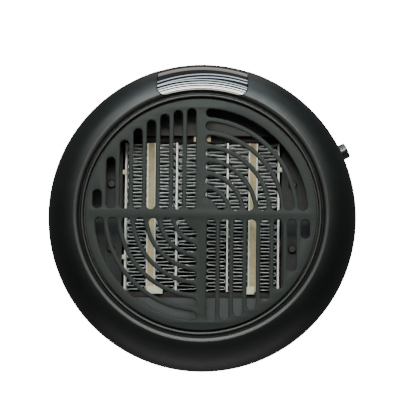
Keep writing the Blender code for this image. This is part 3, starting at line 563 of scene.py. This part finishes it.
def window_block(name, grow):
    """A block through the rim that has the window's outline."""
    return outline_curve(name, [window_outline(grow)], -window_high.y - grow, CASE_FRONT + 3 * PAST)


def bezel():
    """The rounded ring: lip and groove, rim, hollow inside, and the sleeve and ledge of the grille."""
    lip = [(BORE_R + out * MM, LIP + up * MM) for out, up in LIP_SHAPE]
    lip += [(BORE_R + 3.6 * MM, CASE_FRONT - GAP), (BORE_R + 5.2 * MM, CASE_FRONT)]
    profile = rounded(lip) + rim(0.0, 84, 0, 28) + rim(WALL, 0, 90, 10)
    sleeve_r = BORE_R + SLEEVE_WALL
    sleeve_foot = BAFFLE_FRONT + GAP
    ledge_front = GRILLE_BACK - GAP
    ledge_back = ledge_front - LEDGE_T
    profile += [
        (sleeve_r + 1.0 * MM, LIP - 3.0 * MM),
        (sleeve_r, LIP - 4.4 * MM),
        (sleeve_r, sleeve_foot),
        (BORE_R, sleeve_foot),
        (BORE_R, ledge_back),
        (BORE_R - LEDGE, ledge_back),
        (BORE_R - LEDGE, ledge_front),
        (BORE_R, ledge_front),
    ]
    shell = turned("bezel", profile, CASE_STEPS)
    opening = window_block("opening", WINDOW_CLEAR)
    finish_piece(combine(shell, [opening], "DIFFERENCE"), "front_bezel", 28.0)


def window():
    """The lens: a slice of a ring that follows the rim, cut to the window's outline."""
    front = [
        (BORE_R + 3.2 * MM, LIP + 0.4 * MM - WINDOW_SINK),
        (BORE_R + 3.8 * MM, CASE_FRONT - 0.15 * MM - WINDOW_SINK),
    ]
    behind = [(r, h - WINDOW_T) for r, h in reversed(front)]
    outside = rim(WINDOW_SINK, 87, 0, 30)
    inside = rim(WINDOW_SINK + WINDOW_T, 0, 90, 20)
    ring = turned("lens", front + outside + inside + behind, LENS_STEPS)
    block = window_block("outline", 0.0)
    finish_piece(combine(ring, [block], "INTERSECT"), "display_window", 30.0)


def straight_slot(x):
    """A slot with round ends, from the level bar up to the slots' reach."""
    reach = math.sqrt(SLOT_REACH**2 - x**2)
    cap = arc(SLOT_R, 0.0, math.pi, 10)
    top = [(x + a, reach - SLOT_R + b) for a, b in cap]
    return top + [(x - a, BAR_HALF + SLOT_R - b) for a, b in cap]


def arc_slot(middle, steps):
    """A slot with round ends that runs along a quarter circle of radius middle."""
    start = math.asin((ARC_END + SLOT_R) / middle)
    end = math.pi / 2 - start
    far = Vector((middle * math.cos(end), middle * math.sin(end)))
    near = Vector((middle * math.cos(start), middle * math.sin(start)))
    slot = arc(middle + SLOT_R, start, end, steps)
    slot += [(far.x + a, far.y + b) for a, b in arc(SLOT_R, end, end + math.pi, 10)[1:-1]]
    slot += arc(middle - SLOT_R, end, start, steps)
    near_cap = arc(SLOT_R, start + math.pi, start + math.tau, 10)[1:-1]
    return slot + [(near.x + a, near.y + b) for a, b in near_cap]


def grille():
    """The disc with two quadrants of straight slots and two of arc slots, edges rounded."""
    outlines = [arc(GRILLE_R, 0.0, math.tau, 200)[:-1]]
    for side in (1, -1):
        for i in range(STRAIGHT_SLOTS):
            slot = straight_slot(SLOT_FIRST + i * SLOT_PITCH)
            outlines.append([(-side * x, side * z) for x, z in slot])
        for i in range(ARC_SLOTS):
            slot = arc_slot(ARC_FIRST + i * SLOT_PITCH, 8 + 4 * i)
            outlines.append([(side * x, side * z) for x, z in slot])
    disc = outline_curve("grille", outlines, GRILLE_BACK, GRILLE_FRONT, GRILLE_EDGE)
    finish_piece(disc, "front_grille", 40.0)


def at_screws(name, profile, steps):
    """One turned tool on the axis of each case screw."""
    places = [Matrix.Translation((x, 0, z)) for x, z in SCREW_PLACES]
    return [turned(name, profile, steps, closed=False, place=place) for place in places]


def intake(turn, low, high):
    """A cutter for one intake slot, which points away from the axis."""
    cap = arc(INTAKE_R, 0.0, math.pi, 8)
    line = [(a, INTAKE_OUT - INTAKE_R + b) for a, b in cap]
    line += [(-a, INTAKE_IN + INTAKE_R - b) for a, b in cap]
    c = math.cos(turn)
    s = math.sin(turn)
    return outline_curve("intake", [[(x * c - z * s, x * s + z * c) for x, z in line]], low, high)


def rear():
    """The back shell: collar round the plug, tongue at the seam, screw wells and intake slots."""
    top = SEAM - GAP
    floor = CASE_BACK + WALL
    flat = [(60 * MM, CASE_BACK), (45 * MM, CASE_BACK)]  # on the flat back, which they divide
    collar = [(COLLAR_R, CASE_BACK), (NECK_HOLE_R, CASE_BACK), (NECK_HOLE_R, floor)]
    tongue_out = CASE_R - WALL - 0.5 * MM
    tongue_in = tongue_out - TONGUE_T
    profile = back(0.0, 0, -90, 24) + flat + rounded(collar) + back(WALL, -90, -20, 10)
    profile += [
        (tongue_in, top - TONGUE_ROOT),
        (tongue_in, top + TONGUE_RISE),
        (tongue_out, top + TONGUE_RISE),
        (tongue_out, top),
    ]
    well_low = floor - WELL_SINK
    tube = [(0.0, WELL_TOP), (WELL_R, WELL_TOP), (WELL_R, well_low), (0.0, well_low)]
    shell = combine(turned("rear", profile, CASE_STEPS), at_screws("well", tube, 40), "UNION")
    bore = [
        (0.0, WELL_TOP + MM),
        (SCREW_HOLE_R, WELL_TOP + MM),
        (SCREW_HOLE_R, WELL_TOP - 2 * MM),
        (WELL_BORE_R, WELL_TOP - 2 * MM),
        (WELL_BORE_R, CASE_BACK - 3 * MM),
        (0.0, CASE_BACK - 3 * MM),
    ]
    cuts = at_screws("bore", bore, 36)
    for i in range(INTAKE_COUNT):
        cuts.append(intake(math.tau * (i + 0.5) / INTAKE_COUNT, CASE_BACK - PAST, floor + PAST))
    far = CASE_R + BUTTON_HOLE_REACH
    near = CASE_R - BUTTON_HOLE_REACH
    hole = [(0.0, far), (BUTTON_HOLE_R, far), (BUTTON_HOLE_R, near), (0.0, near)]
    cuts.append(turned("hole", hole, 48, closed=False, place=ALONG_BUTTON))
    finish_piece(combine(shell, cuts, "DIFFERENCE"), "rear_housing", 28.0)


def button():
    """The push button: a softly domed cap, a flange that holds it in and a stem to the switch."""
    cap = rounded(
        [
            (0.0, BUTTON_TOP),
            (3.4 * MM, BUTTON_TOP - 0.12 * MM),
            (BUTTON_R - 0.08 * MM, BUTTON_TOP - 0.3 * MM),
            (BUTTON_R, BUTTON_TOP - 1.5 * MM),
        ],
        3,
    )
    flange_in = BUTTON_FLANGE - 1.4 * MM
    stem_end = BUTTON_FLANGE - BUTTON_STEM_L
    profile = cap + [
        (BUTTON_R, BUTTON_FLANGE),
        (BUTTON_FLANGE_R, BUTTON_FLANGE),
        (BUTTON_FLANGE_R, flange_in),
        (BUTTON_STEM_R, flange_in),
        (BUTTON_STEM_R, stem_end),
        (0.0, stem_end),
    ]
    piece = turned("button", profile, 72, closed=False, place=ALONG_BUTTON)
    finish_piece(piece, "side_button", 35.0)


def swivel():
    """The turning plug: a round neck with a soft shoulder, a dished grip groove, two blade slots."""
    inside = CASE_BACK + WALL + GAP
    outer = rounded(
        [
            (NECK_R, inside),
            (NECK_R, 17.0 * MM),
            (NECK_R - GROOVE, 16.2 * MM),
            (NECK_R - GROOVE, 14.6 * MM),
            (NECK_R, 13.8 * MM),
            (NECK_R, 8.2 * MM),
            (20.1 * MM, 0.9 * MM),
            (19.2 * MM, 0.0),
            (17.0 * MM, 0.0),
        ],
        3,
    )
    flange = [(0.0, PLUG_FRONT), (plug_high.x, PLUG_FRONT), (plug_high.x, inside)]
    body = turned("swivel", flange + outer + [(0.0, 0.0)], 160, closed=False)
    slots = []
    for node in ("plug_blade_left", "plug_blade_right"):
        low, high = edges(node)
        x = (low.x + high.x) / 2
        corners = [(-1, -1), (1, -1), (1, 1), (-1, 1)]
        slot = [(x + a * BLADE_SLOT_X, b * BLADE_SLOT_Z) for a, b in corners]
        outline = rounded(slot, 1, closed=True)
        slots.append(outline_curve("slot", [outline], -PAST, PLUG_FRONT + PAST))
    finish_piece(combine(body, slots, "DIFFERENCE"), "plug_swivel", 30.0)


# --------------------------------------------------------------------------------------------------
# Ceramic core
# --------------------------------------------------------------------------------------------------


def fin(node):
    """A corrugated aluminium ribbon: slanted legs and round folds, each a little out of true."""
    low, high = edges(node)
    pitch = (high.z - low.z - FIN_T) / FIN_LEGS
    bend = pitch * FIN_BEND
    line = []
    for i in range(FIN_LEGS + 1):
        z = low.z + FIN_T / 2 + pitch * i
        side = -1 if i % 2 == 0 else 1
        edge = low.x + FIN_T / 2 if side < 0 else high.x - FIN_T / 2
        wobble = random.uniform(-FIN_WOBBLE, FIN_WOBBLE) if 0 < i < FIN_LEGS else 0.0
        inset = random.uniform(0.0, FIN_SHORT)
        for turn in (-80, -40, 0, 40, 80):
            a = math.radians(turn)
            x = edge - side * (inset + bend * (1 - math.cos(a)))
            fold_z = z + wobble + bend * math.sin(a)
            line.append((x, min(max(fold_z, low.z + FIN_T), high.z - FIN_T)))
    rows = [low.y, (low.y + high.y) / 2, high.y]
    count = len(line)
    verts = [(x, y, z) for y in rows for x, z in line]
    faces = []
    for j in range(len(rows) - 1):
        for i in range(count - 1):
            a = j * count + i
            faces.append((a, a + 1, a + count + 1, a + count))
    mesh = bpy.data.meshes.new(node)
    mesh.from_pydata(verts, [], faces)
    piece = link(bpy.data.objects.new(node + "_ribbon", mesh))
    solid = piece.modifiers.new("thick", "SOLIDIFY")
    solid.thickness = FIN_T
    solid.offset = 0.0
    finish_piece(piece, node, 50.0)


def strip(node):
    """A ceramic heater strip: tan stones, sunk a little between two bright aluminium contacts."""
    low, high = edges(node)
    front = -low.y
    behind = -high.y
    sunk = front - STRIP_SINK
    half = [(0.0, behind), (0.0, front), (STRIP_SKIN, front), (STRIP_SKIN + STRIP_SLOPE, sunk)]
    outline = [(low.x + x, h) for x, h in half] + [(high.x - x, h) for x, h in reversed(half)]
    count = len(outline)
    verts = []
    for i in range(STRIP_LEVELS):
        z = low.z + (high.z - low.z) * i / (STRIP_LEVELS - 1)
        verts += [(x, -h, z) for x, h in outline]
    faces = []
    for i in range(STRIP_LEVELS - 1):
        for j in range(count):
            k = (j + 1) % count
            faces.append((i * count + j, i * count + k, (i + 1) * count + k, (i + 1) * count + j))
    faces.append(tuple(range(count)))
    faces.append(tuple((STRIP_LEVELS - 1) * count + j for j in range(count)))
    piece = add(node + "_wrapped", verts, faces)
    piece.data.materials.append(MATERIALS["ceramic_tan"])
    piece.data.materials.append(MATERIALS["plate_aluminium"])
    stone_from = low.x + STRIP_SKIN * 0.9
    stone_to = high.x - STRIP_SKIN * 0.9
    for face in piece.data.polygons:
        stone = stone_from < face.center.x < stone_to and face.normal.y < -0.5
        face.material_index = 0 if stone else 1
    finish_piece(piece, node, 20.0)


def cad_node(node, bevel):
    """Keeps a CAD solid whose shape is right, with its procedural material and softened edges."""
    piece = nodes[node]
    piece.data.materials.clear()
    piece.data.materials.append(material_of(node))
    if bevel:
        weld = piece.modifiers.new("weld", "WELD")
        weld.merge_threshold = 1e-6
        edge = piece.modifiers.new("edge", "BEVEL")
        edge.width = bevel
        edge.segments = 2
        edge.limit_method = "ANGLE"
        edge.angle_limit = math.radians(40)
        edge.harden_normals = False
    piece.data.shade_smooth()
    piece.data.set_sharp_from_angle(angle=math.radians(30))


# --------------------------------------------------------------------------------------------------
# Build
# --------------------------------------------------------------------------------------------------

MAKERS = {
    "front_bezel": bezel,
    "display_window": window,
    "front_grille": grille,
    "rear_housing": rear,
    "side_button": button,
    "plug_swivel": swivel,
}
SOFT_EDGES = {
    "plug_blade_left": 0.25 * MM,
    "plug_blade_right": 0.25 * MM,
    "power_switch": 0.3 * MM,
    "relay": 0.4 * MM,
    "capacitor": 0.8 * MM,
    "terminal_block": 0.3 * MM,
    "core_holder_top": 0.3 * MM,
    "core_holder_bottom": 0.3 * MM,
    "led_display": 0.3 * MM,
}

for make in MAKERS.values():
    make()
for node in FIN_ROWS:
    fin(node)
for node in STRIPS:
    strip(node)
for node in nodes:
    if node not in MAKERS and node not in FIN_ROWS and node not in STRIPS:
        cad_node(node, SOFT_EDGES.get(node, 0.0))


# --------------------------------------------------------------------------------------------------
# Floor, light and camera
# --------------------------------------------------------------------------------------------------

MIDDLE = Vector((0.0, -SEAM, 0.0))
PALE = (0.86, 0.86, 0.85)
WORLD_STRENGTH = 0.07
FLOOR_SIZE = 4.0
FLOOR_DEPTH = 2.0
BACKDROP_SIZE = 1.5
BACKDROP_DISTANCE = 4.0
BACKDROP_GLOW = 16.0

# Lights one above the other, like a window's blinds: tilt above the axis, width, power and colour
BLIND_DISTANCE = 0.75
BLIND_HEIGHT = 0.062
BLIND_SWAY = 0.04  # sideways, to and fro, of the distance
BLINDS = [
    (10, 0.30, 0.4, (1.0, 0.93, 0.78)),
    (20, 0.28, 2.8, (1.0, 0.96, 0.86)),
    (32, 0.55, 3.0, (0.95, 1.0, 0.96)),
    (44, 0.70, 3.0, (0.85, 0.97, 1.0)),
    (57, 0.75, 1.8, (0.85, 0.97, 1.0)),
    (70, 0.75, 1.1, (0.80, 0.95, 1.0)),
    (84, 0.75, 1.1, (0.80, 0.95, 1.0)),
    (98, 0.75, 0.7, (0.85, 0.95, 1.0)),
]

AZIMUTH = math.radians(0.9)
ELEVATION = math.radians(-4.05)
ROLL = math.radians(0.55)
DISTANCE = 0.95
VIEW_WIDTH = 0.2371  # metres across the picture at the case's widest plane
VIEW_SHIFT = Vector((0.00335, 0.00563, 0.0))
SENSOR_WIDTH = 36.0


def panel(name, size, spot, aim, glow=0.0):
    """A large flat pale stage piece facing a point, which may glow."""
    mesh = bpy.data.meshes.new(name)
    half = size / 2
    corners = [(-half, -half, 0), (half, -half, 0), (half, half, 0), (-half, half, 0)]
    mesh.from_pydata(corners, [], [(0, 1, 2, 3)])
    piece = link(bpy.data.objects.new(name, mesh))
    piece.location = spot
    piece.rotation_euler = (Vector(aim) - Vector(spot)).to_track_quat("Z", "Y").to_euler()
    pale = Shader(name, 0.9)
    lighter = tuple(min(1.0, part * 1.02) for part in PALE)
    pale.colour(pale.ramp(pale.noise(0.6), [(0.3, PALE), (0.7, lighter)]))
    if glow:
        pale.set("Emission Color", (1.0, 1.0, 1.0, 1.0))
        pale.set("Emission Strength", glow)
    mesh.materials.append(pale.material)


def area(name, spot, size_x, size_y, power, colour):
    """A rectangular light that faces the heater's middle."""
    light = bpy.data.lights.new(name, "AREA")
    light.shape = "RECTANGLE"
    light.size = size_x
    light.size_y = size_y
    light.energy = power
    light.color = colour
    holder = link(bpy.data.objects.new(name, light))
    holder.location = spot
    holder.rotation_euler = (MIDDLE - Vector(spot)).to_track_quat("-Z", "Y").to_euler()


def studio():
    """Dim world, floor far below, soft lights and the row of blinds."""
    world = bpy.data.worlds.new("studio")
    bpy.context.scene.world = world
    world.use_nodes = True
    background = world.node_tree.nodes["Background"]
    background.inputs["Color"].default_value = (1.0, 1.0, 1.0, 1.0)
    background.inputs["Strength"].default_value = WORLD_STRENGTH
    panel("floor", FLOOR_SIZE, (0, 0, -FLOOR_DEPTH), (0, 0, FLOOR_DEPTH))
    area("key", (-0.75, -0.80, 0.95), 0.55, 0.40, 2.6, (0.92, 1.0, 0.96))
    area("fill", (0.85, -0.75, 0.80), 0.50, 0.40, 0.8, (0.92, 0.98, 1.0))
    area("rear_top", (0.0, 0.90, 1.10), 0.90, 0.40, 0.9, (1.0, 0.90, 0.78))
    for step, (tilt, width, power, colour) in enumerate(BLINDS):
        turn = math.radians(tilt)
        way = Vector((BLIND_SWAY * (-1) ** step, -math.cos(turn), math.sin(turn)))
        spot = MIDDLE + BLIND_DISTANCE * way
        area(f"blind_{step}", spot, width, BLIND_HEIGHT, power, colour)


def photograph():
    """The camera, and the glowing backdrop that stands behind the heater in its view."""
    level = math.cos(ELEVATION)
    away = Vector((math.sin(AZIMUTH) * level, -math.cos(AZIMUTH) * level, math.sin(ELEVATION)))
    data = bpy.data.cameras.new("camera")
    data.sensor_width = SENSOR_WIDTH
    data.lens = SENSOR_WIDTH * DISTANCE / VIEW_WIDTH
    camera = link(bpy.data.objects.new("camera", data))
    facing = (-away).to_track_quat("-Z", "Y").to_matrix().to_4x4()
    turn = facing @ Matrix.Rotation(ROLL, 4, "Z")
    aside = turn.to_3x3() @ VIEW_SHIFT
    camera.matrix_world = Matrix.Translation(MIDDLE + away * DISTANCE + aside) @ turn
    bpy.context.scene.camera = camera
    panel("backdrop", BACKDROP_SIZE, MIDDLE - away * BACKDROP_DISTANCE, MIDDLE, BACKDROP_GLOW)


studio()
photograph()
